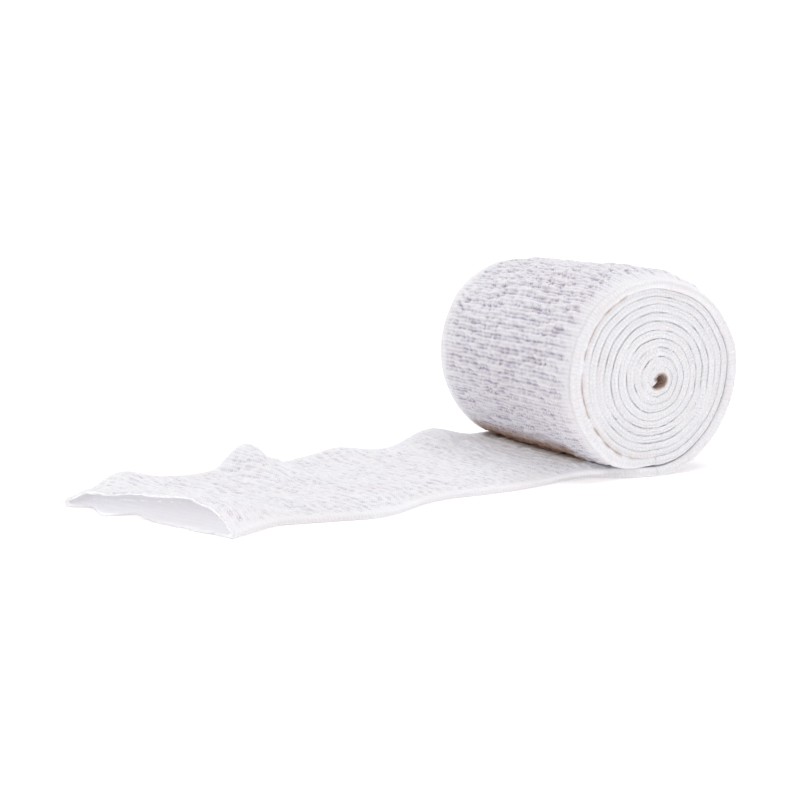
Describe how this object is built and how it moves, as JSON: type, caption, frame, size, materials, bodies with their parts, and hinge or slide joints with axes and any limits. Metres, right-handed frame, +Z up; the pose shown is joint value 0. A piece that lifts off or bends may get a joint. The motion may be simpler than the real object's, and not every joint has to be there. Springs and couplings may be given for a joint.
{
  "type": "tubular net bandage",
  "caption": "Knitted cotton tube pressed flat and wound into a roll, with its loose end laid out on the surface and its mouth gaping.",
  "frame": {"origin": "on the resting surface, under the axis of the roll and at mid-width", "axes": "+X away from the loose end, which lies towards -X; +Y along the roll's axis to its far end; +Z up"},
  "size_m": [0.1997, 0.0846, 0.0624],
  "materials": {
    "cotton": "matte crinkled cotton knit, white with a faint lavender grey"
  },
  "bodies": {
    "root": {"bandage": "cotton"}
  },
  "joints": []
}
